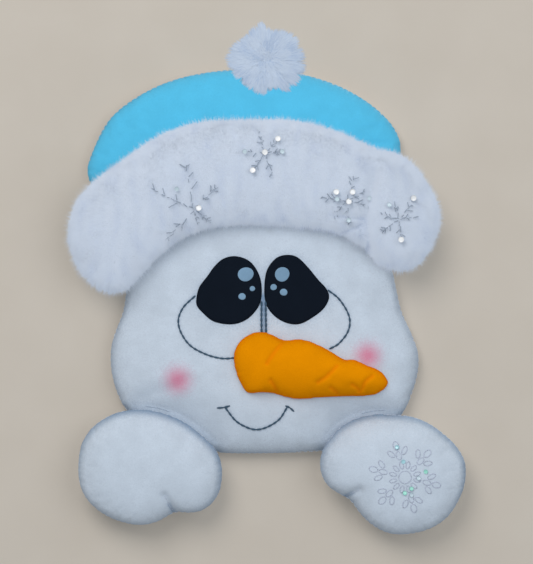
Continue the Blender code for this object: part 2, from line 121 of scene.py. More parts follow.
LEFT_EYE_LINE = [(-48.7, 31), (-57, 23), (-60.6, 14), (-58.6, 5), (-52, -4), (-41, -10), (-30, -12.8),
                 (-20, -12.3)]
RIGHT_EYE_LINE = [(44, 35), (51.5, 29), (57.5, 20), (59.4, 12.6), (57.5, 5), (51.5, -2.5), (45, -6.2)]
BRIDGE_LINES = [[(-2.4, 27), (-2.5, 16), (-2.4, 5)], [(0.5, 27), (0.6, 16), (0.8, 5)]]
SMILE_LINE = [(-28, -47), (-21, -56), (-14, -60.6), (-6.5, -62.8), (1.5, -61), (10, -55.5), (15.4, -47.2)]
LEFT_TICK = [(-33.6, -47.6), (-29, -47.2), (-24.5, -46)]
RIGHT_TICK = [(14.3, -46), (17.4, -47.4), (20.3, -50)]
# Painted dabs on the pupils: x, z, half width, half height
LEFT_DABS = [(-13.5, 46, 6, 5.3), (-8.8, 36, 2, 2), (-16, 30.5, 2.7, 2.6)]
RIGHT_DABS = [(12, 46, 5.5, 5.5), (6, 37, 2.4, 2.4), (13, 33.5, 2.8, 2.7)]
NOSE_CREASES = [[(13, -1), (6, -9), (1.4, -16)], [(50, -18), (43, -25), (37, -29)],
                [(75, -25), (70, -29), (68, -34)], [(4, -28), (7, -33), (9, -38)],
                [(46, -33), (49.5, -36), (51, -39)], [(61, -31), (65, -34), (67, -38)]]
BRIM_PUCKER = [(73.5, 63), (71.5, 76), (70.8, 86), (73, 100), (76, 118)]
BRIM_TUFT = [(54, 72.5), (60, 71), (66, 70.5)]
BRIM_GATHERS = [[(26, 80), (40, 78.4), (54, 77.2), (66, 80.5)], [(48, 88), (60, 86.5), (69, 85.5)]]
# Snowflakes on the brim: centre, arms as (direction in degrees, length), sequins with a painted glint, pale
# sequins
BRIM_FLAKES = {
    "left": ((-49, 91), [(101, 32), (155, 33), (227, 29), (281, 13), (322, 16), (45, 22)],
             [(-46, 92)], [(-61, 105)]),
    "centre": ((0.3, 130), [(110, 15), (47, 15), (5, 13), (-74, 17), (-126, 15), (176, 14)],
               [(9, 140), (-8.5, 118), (0, 130.6)], [(12, 131), (-14, 131)]),
    "right": ((57, 97), [(75, 21), (28, 14), (-12, 17), (-86, 16), (-130, 15), (170, 19)],
              [(49.4, 103), (60.6, 103), (58, 96.4)], [(50, 98), (72.3, 98.8), (58, 83.5)]),
    "end": ((93, 84), [(52, 17), (12, 12), (-84, 15), (215, 16), (165, 13), (108, 12)],
            [(103, 98.8), (94.4, 70)], [(86, 94)]),
}
HAND_SEQUINS = {"pale": [(102, -107.6), (107, -96)], "green": [(102, -103.3), (97.3, -106.4), (112, -91.5)],
                "cyan": [(96.3, -84.5), (92, -74.5)]}
LEFT_THUMB = [(-64.5, -119.5), (-67, -115), (-70, -108.5)]
RIGHT_THUMB = [(57, -109), (61, -107), (66, -104.5)]
LEFT_STITCH = [(-84, -46.9), (-78, -47.5), (-72, -48.9), (-67, -50.6)]
RIGHT_STITCH = [(68, -51.9), (73, -50.6), (79, -49.8), (85, -49.6)]
CHEEKS = [(-61, -28, 11.5), (72, -11, 11.5)]  # x, z, radius
POM_CENTRE = Vector((0.7, -33, 195.5)) * MM
POM_RADIUS = 25.0 * MM
# Tufts round the pom-pom: direction in degrees and reach
POM_TUFTS = [(-155, 26), (-125, 24), (-93, 26), (-76, 21), (-56, 27.5), (-35, 29), (-12, 29), (10, 27.5),
             (33, 27.5), (62, 24.5), (80, 21), (96, 28), (115, 24), (137, 23), (158, 27), (178, 29)]
# What is sewn on the face: the node it stands for, its lines and the thread's radius
FACE_THREADS = {
    "left_eye_thread": ("left_eye_line", [LEFT_EYE_LINE], 0.72 * MM),
    "right_eye_thread": ("right_eye_line", [RIGHT_EYE_LINE], 0.72 * MM),
    "eye_bridge_thread": ("eye_bridge_line", BRIDGE_LINES, 0.8 * MM),
    "smile_thread": ("smile_line", [SMILE_LINE], 0.72 * MM),
    "left_smile_thread": ("left_smile_tick", [LEFT_TICK], 0.72 * MM),
    "right_smile_thread": ("right_smile_tick", [RIGHT_TICK], 0.72 * MM),
}

# Colours, linear
WHITE_FLEECE = (0.61, 0.675, 0.755)
# The airbrushed blue-grey. The painted shadow beside the hands and the painted shade in the thumbs' creases
# use it too.
SHADE_BLUE = (0.135, 0.235, 0.37)
BLUSH = (0.70, 0.18, 0.30)
SKY_FELT = (0.095, 0.555, 0.835)
CARROT = (0.86, 0.285, 0.001)
CARROT_EDGE = (0.92, 0.16, 0.003)
BLACK_FELT = (0.0060, 0.0095, 0.0165)
DAB_BLUE = (0.21, 0.34, 0.47)
FUR = (0.70, 0.77, 0.89)
# The darkest fur tint also gives the painted shade in the brim's creases.
FUR_TINTS = [(0.70, 0.74, 0.82), (0.93, 0.94, 0.97), (1, 1, 1), (1.04, 1.03, 1.02)]
YARN = (0.575, 0.665, 0.81)
YARN_TINTS = [(0.80, 0.85, 0.92), (0.92, 0.94, 0.97), (1, 1, 1), (1.06, 1.05, 1.03)]
CLOTH_WHITE = (0.62, 0.67, 0.74)
BRASS = (0.62, 0.42, 0.16)
THREADS = {"teal": (0.025, 0.07, 0.12), "white": (0.55, 0.61, 0.70), "silver": (0.33, 0.39, 0.48),
           "lace": (0.50, 0.54, 0.64), "shaded": (0.36, 0.43, 0.53), "sky": tuple(0.85 * c for c in SKY_FELT)}
# The first sequin colour is near white: a painted glint, for sequins that catch the light.
SEQUINS = {"glinting": (1.0, 0.99, 0.98), "pale": (0.62, 0.74, 0.80), "green": (0.36, 0.80, 0.66),
           "cyan": (0.45, 0.76, 0.82)}
WALL = ((0.585, 0.515, 0.435), (0.615, 0.545, 0.465))
LIGHTS = {  # place, size, power, colour
    "key": ((-0.6, -1.8, 1.1), 1.3, 19, (1.0, 0.985, 0.97)),
    "fill": ((1.0, -1.8, 0.4), 1.5, 9, (0.92, 0.96, 1.0)),
    "behind": ((0.6, 1.6, 1.0), 1.2, 22, (1.0, 1.0, 1.0)),
}


# Curves, outlines and flat meshes

def smooth(points, closed, step):
    """Evenly spaced points, in metres, on a smooth curve through points given in millimetres."""
    pts = np.array(points, float) * MM
    if closed:
        ring = np.vstack([pts[-1:], pts, pts[:2]])
    else:
        ring = np.vstack([2 * pts[:1] - pts[1:2], pts, 2 * pts[-1:] - pts[-2:-1]])
    t = np.arange(16)[:, None] / 16
    dense = []
    for p0, p1, p2, p3 in zip(ring, ring[1:], ring[2:], ring[3:]):
        bend = 2 * p0 - 5 * p1 + 4 * p2 - p3
        dense.append(0.5 * (2 * p1 + (p2 - p0) * t + bend * t**2 + (3 * (p1 - p2) + p3 - p0) * t**3))
    return evenly(np.vstack(dense + [ring[-2:-1]]), closed, step)


def evenly(line, closed, step):
    """The same line with its points a step apart."""
    lengths = np.concatenate([[0], np.cumsum(np.linalg.norm(np.diff(line, axis=0), axis=1))])
    count = max(int(round(lengths[-1] / step)), 3)
    where = np.linspace(0, lengths[-1], count + 1)
    if closed:
        where = where[:-1]
    return np.stack([np.interp(where, lengths, axis) for axis in line.T], axis=1)


def distance(line, points, closed=True):
    """Shortest distance from each point to a line."""
    starts, ends = (line, np.roll(line, -1, axis=0)) if closed else (line[:-1], line[1:])
    best = np.full(len(points), 1e9)
    for a, b in zip(starts, ends):
        share = np.clip((points - a) @ (b - a) / max((b - a) @ (b - a), 1e-18), 0, 1)
        best = np.minimum(best, np.linalg.norm(points - a - share[:, None] * (b - a), axis=1))
    return best
def along(line, points, width, step=1 * MM):
    """1 on a line given in millimetres, fading out to about 0 at twice the width beside it."""
    away = distance(smooth(line, False, step), points, closed=False)
    return np.exp(-((away / width) ** 2))


def fading(away, reach):
    """1 at an edge, fading out over about reach beyond it."""
    return np.exp(-np.maximum(away, 0) / reach)

def inside(outline, points):
    x, z = points.T
    found = np.zeros(len(points), bool)
    for a, b in zip(outline, np.roll(outline, -1, axis=0)):
        rise = b[1] - a[1] if b[1] != a[1] else 1e-12
        crosses = (a[1] > z) != (b[1] > z)
        found ^= crosses & (x < a[0] + (z - a[1]) / rise * (b[0] - a[0]))
    return found


def depth_in(outline, points):
    """Distance from an outline, above 0 inside it and below 0 outside."""
    return np.where(inside(outline, points), 1, -1) * distance(outline, points)


def outset(outline, amount):
    """An outline moved outwards, or inwards for an amount below 0, and smoothed."""
    after, before = np.roll(outline, -1, axis=0), np.roll(outline, 1, axis=0)
    ahead = after - before
    outward = unit(np.column_stack([ahead[:, 1], -ahead[:, 0]]))
    area = np.sum(outline[:, 0] * after[:, 1] - after[:, 0] * outline[:, 1])
    moved = outline + amount * np.sign(area) * outward
    for _ in range(3):
        moved = (np.roll(moved, 1, axis=0) + 2 * moved + np.roll(moved, -1, axis=0)) / 4
    return moved


def flat_sheet(outline, spacing):
    """Even triangles inside an outline. The outline's own points come first."""
    low, high = outline.min(0), outline.max(0)
    rows = []
    for i, z in enumerate(np.arange(low[1], high[1], spacing * 0.866)):
        x = np.arange(low[0] + (i % 2) * spacing / 2, high[0], spacing)
        rows.append(np.stack([x, np.full(len(x), z)], axis=1))
    grid = np.vstack(rows)
    grid = grid[depth_in(outline, grid) > 0.62 * spacing]
    points = np.vstack([outline, grid])
    scaled = [Vector(p / MM) for p in points]
    made = delaunay_2d_cdt(scaled, [], [list(range(len(outline)))], 1, 1e-5)
    return np.array([tuple(v) for v in made[0]]) * MM, [tuple(f) for f in made[2]]


def star_share(points, outline, centre):
    """0 at the centre and 1 on the outline, for an outline that can be seen whole from its centre."""
    middle = np.array(centre) * MM
    rim = outline - middle
    angle = np.arctan2(rim[:, 1], rim[:, 0])
    order = np.argsort(angle)
    away = points - middle
    turn = np.arctan2(away[:, 1], away[:, 0])
    reach = np.interp(turn, angle[order], np.linalg.norm(rim, axis=1)[order], period=2 * math.pi)
    return np.linalg.norm(away, axis=1) / reach


def dome(share, flatness=3.2):
    """Height of a stuffed cushion, 1 in its middle and 0 at its seam."""
    return np.sqrt(np.clip(1 - np.clip(share, 0, 1) ** flatness, 0, 1))


def roll(depth, reach):
    """Height of a roll, 0 at its edge and 1 from reach inwards."""
    return np.sqrt(1 - (1 - np.clip(depth / reach, 0, 1)) ** 2)


# Pieces

def piece(name, vertices, faces, looks, body, slot, face_looks=None, replaces=()):
    """A smooth mesh that rides on a body, takes its finish from looks and stands for CAD nodes. slot is not
    used.
    """
    mesh = bpy.data.meshes.new(name)
    mesh.from_pydata([tuple(v) for v in vertices], [], faces)
    for look in looks if isinstance(looks, list) else [looks]:
        mesh.materials.append(look)
    if face_looks is not None:
        mesh.polygons.foreach_set("material_index", np.array(face_looks, np.int32))
    mesh.shade_smooth()
    thing = bpy.data.objects.new(name, mesh)
    bpy.context.scene.collection.objects.link(thing)
    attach(thing, body)
    if replaces:
        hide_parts(*replaces)
    return thing


def points_of(thing):
    flat = np.zeros(len(thing.data.vertices) * 3)
    thing.data.vertices.foreach_get("co", flat)
    return flat.reshape(-1, 3)


def move_points(thing, points):
    thing.data.vertices.foreach_set("co", np.asarray(points, float).ravel())
    thing.data.update()


def paint(thing, name, values):
    """A number for each point, which a material reads by its name."""
    layer = thing.data.attributes.new(name, "FLOAT", "POINT")
    layer.data.foreach_set("value", np.clip(values, 0, 1).astype(np.float32))


def refine(thing):
    """One subdivision, applied."""
    modifier = thing.modifiers.new("refine", "SUBSURF")
    modifier.levels = modifier.render_levels = 1
    graph = bpy.context.evaluated_depsgraph_get()
    finer = bpy.data.meshes.new_from_object(thing.evaluated_get(graph))
    thing.modifiers.clear()
    old, name = thing.data, thing.data.name
    thing.data = finer
    bpy.data.meshes.remove(old)
    finer.name = name
    finer.shade_smooth()


def front_of(*things):
    """depth(points) of the frontmost of these objects at each (x, z), or 0 beside them all."""
    trees = []
    for thing in things:
        corners = [Vector(v) for v in points_of(thing)]
        trees.append(BVHTree.FromPolygons(corners, [p.vertices[:] for p in thing.data.polygons]))

    def depth(points):
        found = []
        for x, z in np.atleast_2d(points):
            hits = [tree.ray_cast(Vector((x, -1, z)), Vector((0, 1, 0)))[0] for tree in trees]
            found.append(min([hit.y for hit in hits if hit] + [0.0]))
        return np.array(found)

    return depth


def pillow(name, outline, spacing, front, back, looks, body, slot, replaces):
    """A closed cushion. front and back give y at points in the outline and meet along it."""
    flat, triangles = flat_sheet(outline, spacing)
    rim, total = len(outline), len(flat)
    vertices = np.column_stack([flat[:, 0], front(flat), flat[:, 1]])
    behind = np.column_stack([flat[rim:, 0], back(flat[rim:]), flat[rim:, 1]])
    to_back = {i: i if i < rim else total + i - rim for i in range(total)}
    faces = triangles + [tuple(to_back[i] for i in reversed(t)) for t in triangles]
    face_looks = [0] * len(triangles) + [len(looks) - 1] * len(triangles)
    thing = piece(name, np.vstack([vertices, behind]), faces, looks, body, slot, face_looks, replaces)
    thing["rim"], thing["front"] = rim, total
    return thing


def cushion(node, *arguments):
    """A pillow that stands for a node's two cloths and its stuffing."""
    return pillow(node + "_cushion", *arguments, [f"{node}_{part}" for part in ("front", "back", "stuffing")])


def inflate(cushions):
    """Swells the fronts with a cloth simulation. Their rims and backs are held."""
    scene = bpy.context.scene
    scene.frame_start, scene.frame_end = 1, FRAMES
    before = {}
    for thing in cushions:
        before[thing.name] = points_of(thing)
        held = thing.vertex_groups.new(name="held")
        free = set(range(thing["rim"], thing["front"]))
        held.add([i for i in range(len(thing.data.vertices)) if i not in free], 1.0, "REPLACE")
        cloth = thing.modifiers.new("swell", "CLOTH")
        cloth.settings.quality = 5
        cloth.settings.mass = 0.15
        cloth.settings.tension_stiffness = cloth.settings.compression_stiffness = 12
        cloth.settings.shear_stiffness = 6
        cloth.settings.bending_stiffness = 0.6
        cloth.settings.use_pressure = True
        cloth.settings.uniform_pressure_force = PRESSURES[thing.name]
        cloth.settings.effector_weights.gravity = 0
        cloth.settings.vertex_group_mass = held.name
        cloth.collision_settings.use_collision = False
        cloth.point_cache.frame_start, cloth.point_cache.frame_end = 1, FRAMES
    for number in range(1, FRAMES + 1):
        scene.frame_set(number)
    graph = bpy.context.evaluated_depsgraph_get()
    after = {}
    for thing in cushions:
        solved = thing.evaluated_get(graph).to_mesh()
        flat = np.zeros(len(solved.vertices) * 3)
        solved.vertices.foreach_get("co", flat)
        after[thing.name] = flat.reshape(-1, 3)
    scene.frame_set(1)
    for thing in cushions:
        thing.modifiers.clear()
        thing.vertex_groups.clear()
        start = before[thing.name]
        moved = after[thing.name] - start
        far = np.linalg.norm(moved, axis=1)
        share = np.minimum(1, MOST_SWELL / np.maximum(far, 1e-9))
        move_points(thing, start + moved * share[:, None])
        print(thing.name, "swelled by", round(float(far.max()) / MM, 1), "mm")


def groove(thing, lines, depth, width):
    """Presses lines into the front of a cushion."""
    points = points_of(thing)
    press = np.zeros(len(points))
    for line in lines:
        press = np.maximum(press, along(line, points[:, [0, 2]], width))
    seam = points[: thing["rim"], 1].mean() if "rim" in thing else 0
    front = points[:, 1] < seam - 0.5 * MM
    points[:, 1] += np.where(front, depth * press, 0)
    move_points(thing, points)


# Materials

def new_look(name, roughness=0.9, metallic=0.0, sheen=0.0, colour=(1, 1, 1), specular=0.25):
    look = bpy.data.materials.new(name)
    look.use_nodes = True
    shader = look.node_tree.nodes["Principled BSDF"]
    values = {"Base Color": (*colour, 1), "Roughness": roughness, "Metallic": metallic, "Sheen Weight": sheen,
              "Sheen Roughness": 0.6, "Specular IOR Level": specular}
    for socket, value in values.items():
        shader.inputs[socket].default_value = value
    return look, look.node_tree, shader


def new_node(tree, kind, inputs=(), **settings):
    """A node with its settings, and its inputs set, or linked where the value is another node's output."""
    node = tree.nodes.new("ShaderNode" + kind)
    for key, value in settings.items():
        setattr(node, key, value)
    for key, value in dict(inputs).items():
        if isinstance(value, bpy.types.NodeSocket):
            tree.links.new(value, node.inputs[key])
        else:
            node.inputs[key].default_value = value
    return node


def add_noise(tree, size, detail=3.0, distortion=0.0, stretch=(1, 1, 1)):
    """Cloudy noise whose features are about size across."""
    place = new_node(tree, "TexCoord").outputs["Object"]
    mapped = new_node(tree, "Mapping", {"Vector": place, "Scale": stretch}).outputs["Vector"]
    values = {"Vector": mapped, "Scale": 1 / size, "Detail": detail, "Distortion": distortion}
    return new_node(tree, "TexNoise", values).outputs["Fac"]


def ramp(tree, value, low, high, to_low=0.0, to_high=1.0):
    values = {"Value": value, "From Min": low, "From Max": high, "To Min": to_low, "To Max": to_high}
    return new_node(tree, "MapRange", values).outputs["Result"]


def mix(tree, share, first, second):
    """Mixes two colours, each a triple or a node's output."""
    node = new_node(tree, "Mix", {0: share}, data_type="RGBA")
    for socket, colour in ((node.inputs[6], first), (node.inputs[7], second)):
        if isinstance(colour, tuple):
            socket.default_value = (*colour, 1)
        else:
            tree.links.new(colour, socket)
    return node.outputs[2]


def add(tree, first, second, weight=1.0):
    inputs = {0: second, 1: weight, 2: first}
    return new_node(tree, "Math", inputs, operation="MULTIPLY_ADD").outputs["Value"]


def attribute(tree, name):
    return new_node(tree, "Attribute", attribute_name=name).outputs["Fac"]


def dress(tree, shader, colour, roughness):
    tree.links.new(colour, shader.inputs["Base Color"])
    tree.links.new(roughness, shader.inputs["Roughness"])


def bump(tree, shader, height, distance_m, strength):
    node = new_node(tree, "Bump", {"Height": height, "Distance": distance_m, "Strength": strength})
    tree.links.new(node.outputs["Normal"], shader.inputs["Normal"])


def scaled(colour, factor):
    return tuple(min(c * factor, 1.0) for c in colour)


def cloth_look(name, colour, pile=1.0 * MM, depth=0.35 * MM, strength=0.5, sheen=0.3, vary=0.06, specular=0.2,
               paints=()):
    """Fleece or felt: fibres, soft blotches and a matt sheen. paints are (attribute, colour, most)."""
    look, tree, shader = new_look(name, sheen=sheen, specular=specular)
    blotch = ramp(tree, add_noise(tree, 14 * MM, 4), 0.3, 0.7)
    fibre = add_noise(tree, pile, 6, 1.2)
    shown = mix(tree, blotch, scaled(colour, 1 - vary), scaled(colour, 1 + vary))
    shown = mix(tree, ramp(tree, fibre, 0.35, 0.65, 0.0, 0.35), shown, scaled(colour, 0.82))
    for paint_name, paint_colour, most in paints:
        speckled = add(tree, attribute(tree, paint_name), ramp(tree, fibre, 0.3, 0.7, -0.12, 0.12))
        shown = mix(tree, ramp(tree, speckled, 0.06, 1.0, 0.0, most), shown, paint_colour)
    dress(tree, shader, shown, ramp(tree, fibre, 0.3, 0.7, 0.85, 1.0))
    bump(tree, shader, add(tree, fibre, add_noise(tree, 3.5 * MM, 3), 0.6), depth, strength)
    return look


def thread_look(name, colour, twist=0.5 * MM):
    """Twisted thread with a slight gloss."""
    look, tree, shader = new_look(name, sheen=0.25)
    strands = add_noise(tree, twist, 2, 0.5)
    shown = mix(tree, ramp(tree, strands, 0.35, 0.65), scaled(colour, 0.7), scaled(colour, 1.25))
    dress(tree, shader, shown, ramp(tree, strands, 0.3, 0.7, 0.55, 0.75))
    bump(tree, shader, strands, 0.15 * MM, 0.6)
    return look


def metal_look(name, colour):
    """Metal with fine scratches and a dull patina."""
    look, tree, shader = new_look(name, metallic=1.0)
    patina = add_noise(tree, 3 * MM, 5)
    scratches = add_noise(tree, 0.25 * MM, 4, 0.0, (1, 1, 6))
    shown = mix(tree, ramp(tree, patina, 0.35, 0.7), colour, scaled(colour, 0.6))
    dress(tree, shader, shown, ramp(tree, scratches, 0.3, 0.7, 0.2, 0.42))
    bump(tree, shader, scratches, 0.03 * MM, 0.3)
    return look


def sequin_look(name, colour):
    """A glossy disc whose colour shifts a little over it."""
    look, tree, shader = new_look(name, specular=0.9)
    shift = add_noise(tree, 2 * MM, 2)
    shown = mix(tree, ramp(tree, shift, 0.35, 0.65), colour, scaled(colour, 0.86))
    dress(tree, shader, shown, ramp(tree, shift, 0.3, 0.7, 0.12, 0.3))
    return look


def strand_looks(name, colour, tints):
    """Plain tints for strands, which vary by strand."""
    return [new_look(f"{name}_{i + 1}", 0.85, sheen=0.3, colour=tuple(c * t for c, t in zip(colour, tint)))[0]
            for i, tint in enumerate(tints)]


# Strands, threads and sequins

def scatter(thing, count, rng, wanted):
    """Random places on the wanted part of a mesh, even by area: points and smooth normals."""
    mesh = thing.data
    mesh.calc_loop_triangles()
    corners = np.array([t.vertices[:] for t in mesh.loop_triangles])
    points = points_of(thing)
    flat = np.zeros(len(mesh.vertices) * 3)
    mesh.vertices.foreach_get("normal", flat)
    normals = flat.reshape(-1, 3)
    a, b, c = (points[corners[:, k]] for k in range(3))
    keep = wanted((a + b + c) / 3)
    corners, a, b, c = corners[keep], a[keep], b[keep], c[keep]
    area = np.linalg.norm(np.cross(b - a, c - a), axis=1)
    chosen = rng.choice(len(corners), count, p=area / area.sum())
    u, v = rng.random(count), rng.random(count)
    over = u + v > 1
    u[over], v[over] = 1 - u[over], 1 - v[over]
    weights = np.stack([1 - u - v, u, v], axis=1)[:, :, None]
    place = (points[corners[chosen]] * weights).sum(1)
    facing = (normals[corners[chosen]] * weights).sum(1)
    return place, facing / np.linalg.norm(facing, axis=1)[:, None]


def unit(vectors):
    return vectors / np.maximum(np.linalg.norm(vectors, axis=1), 1e-12)[:, None]


def gathered(roots, tips, centres, centre_tips, pull):
    """Tips drawn towards the tip of the nearest clump, which makes tufts."""
    tree = KDTree(len(centres))
    for i, centre in enumerate(centres):
        tree.insert(centre, i)
    tree.balance()
    nearest = np.array([tree.find(root)[1] for root in roots])
    share = np.asarray(pull)[:, None] if np.ndim(pull) else pull
    return tips + share * (centre_tips[nearest] - tips)


def wander(points, size, seed):
    """A smooth random vector at each point, with features about size across."""
    shift = Vector((seed * 3.7, seed * 1.3, seed * 2.9))
    return np.array([noise.noise_vector(Vector(p) / size + shift) for p in points])


def hairs(name, roots, tips, radius, normals, tints, looks, body, slot):
    """Fine hairs that taper to a point. Each side shades as the cloth below it would, seen from there."""
    count = len(roots)
    ahead = unit(tips - roots)
    rng = np.random.default_rng(count)
    side = unit(np.cross(ahead, rng.normal(size=(count, 3)))) * radius[:, None]
    up = np.cross(ahead, side)
    angles = 2 * math.pi * np.arange(3) / 3
    ring = [roots + math.cos(a) * side + math.sin(a) * up for a in angles]
    corners = np.stack(ring + [tips], axis=1)
    first = 4 * np.arange(count)[:, None]
    faces, facing = [], []
    for k in range(3):
        faces += (first + (k, (k + 1) % 3, 3)).tolist()
        outward = math.cos(angles[k] + math.pi / 3) * side + math.sin(angles[k] + math.pi / 3) * up
        backward = (outward[:, 1] > 0) & (normals[:, 1] > -0.3)
        lean = np.column_stack([np.zeros(count), np.where(backward, 0.75, -0.75), np.full(count, 0.1)])
        facing.append(np.repeat(unit(unit(0.55 * normals + lean) + 0.25 * ahead), 3, axis=0))
    thing = piece(name, corners.reshape(-1, 3), faces, looks, body, slot, np.tile(tints, 3))
    thing.data.normals_split_custom_set(np.vstack(facing).tolist())
    thing.visible_shadow = False
    thing.visible_diffuse = False
    return thing


def strands(name, roots, tips, bends, radius, tints, looks, body, slot):
    """Three-sided yarn ends that taper to a point."""
    count = len(roots)
    ahead = unit(tips - roots)
    rng = np.random.default_rng(count)
    side = unit(np.cross(ahead, rng.normal(size=(count, 3))))
    up = np.cross(ahead, side)
    rings = []
    middles = (roots + tips) / 2 + bends
    for place, share in ((roots, 0.7), (middles, 1.0), (tips - 0.18 * (tips - roots), 0.8)):
        for k in range(3):
            angle = 2 * math.pi * k / 3
            rings.append(place + (share * radius)[:, None] * (math.cos(angle) * side + math.sin(angle) * up))
    corners = np.stack(rings + [tips], axis=1)
    first = 10 * np.arange(count)[:, None]
    faces, face_looks = [], []
    for k in range(3):
        j = (k + 1) % 3
        faces += (first + (k, j, 3 + j, 3 + k)).tolist() + (first + (3 + k, 3 + j, 6 + j, 6 + k)).tolist()
        faces += (first + (6 + k, 6 + j, 9)).tolist()
        face_looks += [tints] * 3
    thing = piece(name, corners.reshape(-1, 3), faces, looks, body, slot, np.concatenate(face_looks))
    outward = corners - ((roots + tips) / 2)[:, None, :]
    outward -= np.sum(outward * ahead[:, None, :], axis=2)[:, :, None] * ahead[:, None, :]
    flat = outward.reshape(-1, 3)
    lean = np.zeros((count, 3))
    lean[:, 1] = np.interp(ahead[:, 1], [0.1, 0.6], [-0.6, 0.3])
    lean[:, 2] = 0.2
    facing = unit(0.4 * unit(flat) + np.repeat(0.55 * ahead + lean, 10, axis=0))
    thing.data.normals_split_custom_set_from_vertices([tuple(n) for n in facing])
    thing.visible_shadow = False
    thing.visible_diffuse = False
    return thing


def wrapped(rings, sides, start=0, closed=False):
    """Faces between rings of points. Each ring closes on itself, and closed joins the last to the first."""
    faces = []
    for i in range(rings if closed else rings - 1):
        here, after = start + i * sides, start + (i + 1) % rings * sides
        for k in range(sides):
            j = (k + 1) % sides
            faces.append((here + k, after + k, after + j, here + j))
    return faces


def tube_mesh(line, radii, sides):
    """Vertices and faces of a tube along a line of 3-D points, with closed ends."""
    vertices, count = [], len(line)
    for i in range(count):
        ahead = Vector(line[min(i + 1, count - 1)] - line[max(i - 1, 0)]).normalized()
        side = ahead.cross(Vector((0.03, 1, 0.02))).normalized()
        up = side.cross(ahead)
        for k in range(sides):
            angle = 2 * math.pi * k / sides
            out = math.cos(angle) * side + math.sin(angle) * up
            vertices.append(Vector(line[i]) + float(radii[i]) * out)
    caps = [tuple(range(sides)), tuple(reversed(range((count - 1) * sides, count * sides)))]
    return vertices, wrapped(count, sides) + caps


def joined(parts):
    """Several (vertices, faces) as one."""
    vertices, faces = [], []
    for some_vertices, some_faces in parts:
        start = len(vertices)
        vertices += list(some_vertices)
        faces += [tuple(start + i for i in face) for face in some_faces]
    return vertices, faces


def backstitch(line, radius, stitch, dip):
    """A row of stitches along a 3-D line. Each one rises out of the cloth and goes back in."""
    parts = []
    length = np.linalg.norm(np.diff(line, axis=0), axis=1).sum()
    each = 7
    line = evenly(line, False, length / max(round(length / stitch), 1) / (each - 1))
    for start in range(0, len(line) - each + 1, each - 1):
        some = line[start : start + each].copy()
        arch = np.sin(np.linspace(0.0, math.pi, each))
        some[:, 1] += dip * (1 - arch)
        parts.append(tube_mesh(some, radius * (0.62 + 0.38 * arch), 6))
    return joined(parts)


def on_surface(points, depth, lift):
    """2-D points laid on a surface, lift in front of it."""
    return np.column_stack([points[:, 0], depth(points) - lift, points[:, 1]])


def embroider(name, lines, depth, looks, body, slot, node, radius, stitch=4.0 * MM):
    """Backstitched lines on a surface."""
    parts = []
    for line in lines:
        laid = on_surface(smooth(line, False, 0.5 * MM), depth, 0.45 * radius)
        parts.append(backstitch(laid, radius, stitch, 0.5 * radius))
    piece(name, *joined(parts), looks, body, slot, replaces=[node])


# The object

def hand_limit(points, hands):
    """How thick the head may be, where a hand lies on it and beside it."""
    best = np.full(len(points), 1.0)
    for outline in hands:
        beyond = np.maximum(-depth_in(outline, points) - SEAT_MARGIN, 0)
        best = np.minimum(best, HAND_SEAT + SEAT_SLOPE * beyond)
    return best


def soft_least(first, second, blend=5.0 * MM):
    """The smaller of two heights, with the step between them rounded off."""
    share = np.clip(0.5 + 0.5 * (second - first) / blend, 0, 1)
    return second + share * (first - second) - blend * share * (1 - share)


def crown(plane, rise, outline, centre):
    """front(points) of a cushion that is highest round its centre."""
    return lambda points: plane - rise * dome(star_share(points, outline, centre))


def wall_side(outline):
    """back(points) of the head or the hat, which bulges a little towards the wall."""
    return lambda points: BACK_PLANE + BACK_BULGE * roll(depth_in(outline, points), 6 * MM)


def make_head(looks, hands):
    outline = outset(smooth(HEAD, True, 2.6 * MM), HEAD_NAP)

    def front(points):
        rise = HEAD_RISE * dome(star_share(points, outline, (0, 5)))
        return BACK_PLANE - soft_least(rise, hand_limit(points, hands) + BACK_PLANE)

    return cushion("head", outline, 2.8 * MM, front, wall_side(outline), looks, "figure", "fleece"), outline


def make_hat(looks):
    outline = outset(smooth(HAT, True, 2.6 * MM), HAT_NAP)
    front = crown(BACK_PLANE, HAT_RISE, outline, (-12, 138))
    return cushion("hat", outline, 2.8 * MM, front, wall_side(outline), looks, "figure", "felt"), outline


def make_hand(body, outline, centre, looks, head_outline):
    def back(points):
        free = np.maximum(-depth_in(head_outline, points) - 7 * MM, 0)
        room = 2.6 * MM + 0.6 * free
        return HAND_PLANE + np.minimum(HAND_BACK_RISE * dome(star_share(points, outline, centre)), room)

    front = crown(HAND_PLANE, HAND_FRONT_RISE, outline, centre)
    return cushion(body, outline, 2.2 * MM, front, back, looks, body, "fleece")


def make_nose(looks):
    outline = smooth(NOSE, True, 1.6 * MM)

    def front(points):
        share = star_share(points, outline, (26, -19))
        tip = np.clip((points[:, 0] - 30 * MM) / (60 * MM), 0, 1)
        return -NOSE_RISE * (1 - 0.25 * tip) * dome(share, 2.6)

    def back(points):
        return 0.3 * MM * roll(depth_in(outline, points), 4 * MM)

    return cushion("nose", outline, 1.7 * MM, front, back, looks, "figure", "nose_cloth"), outline


def make_brim(body_depth, looks, fur_looks):
    """The plush roll: a backing cushion and the fur on it."""
    outer = smooth(BRIM, True, 2.5 * MM)
    outline = outset(outer, -BRIM_INSET)

    def front(points):
        return BRIM_PLANE - BRIM_RISE * roll(depth_in(outline, points), 30 * MM)

    def back(points):
        free = BRIM_PLANE + BRIM_BACK_RISE * roll(depth_in(outline, points), 26 * MM)
        return np.minimum(free, body_depth(points) - 1.6 * MM)

    nodes = ["brim_plush", "brim_lining", "brim_stuffing"]
    thing = pillow("brim_roll", outline, 2.8 * MM, front, back, looks, "figure", "plush", nodes)
    refine(thing)
    groove(thing, [BRIM_PUCKER], 8.0 * MM, 4.5 * MM)
    groove(thing, BRIM_GATHERS, 4.0 * MM, 2.6 * MM)
    groove(thing, [BRIM_TUFT], -4.0 * MM, 6.0 * MM)
    make_fur(thing, fur_looks)
    return thing


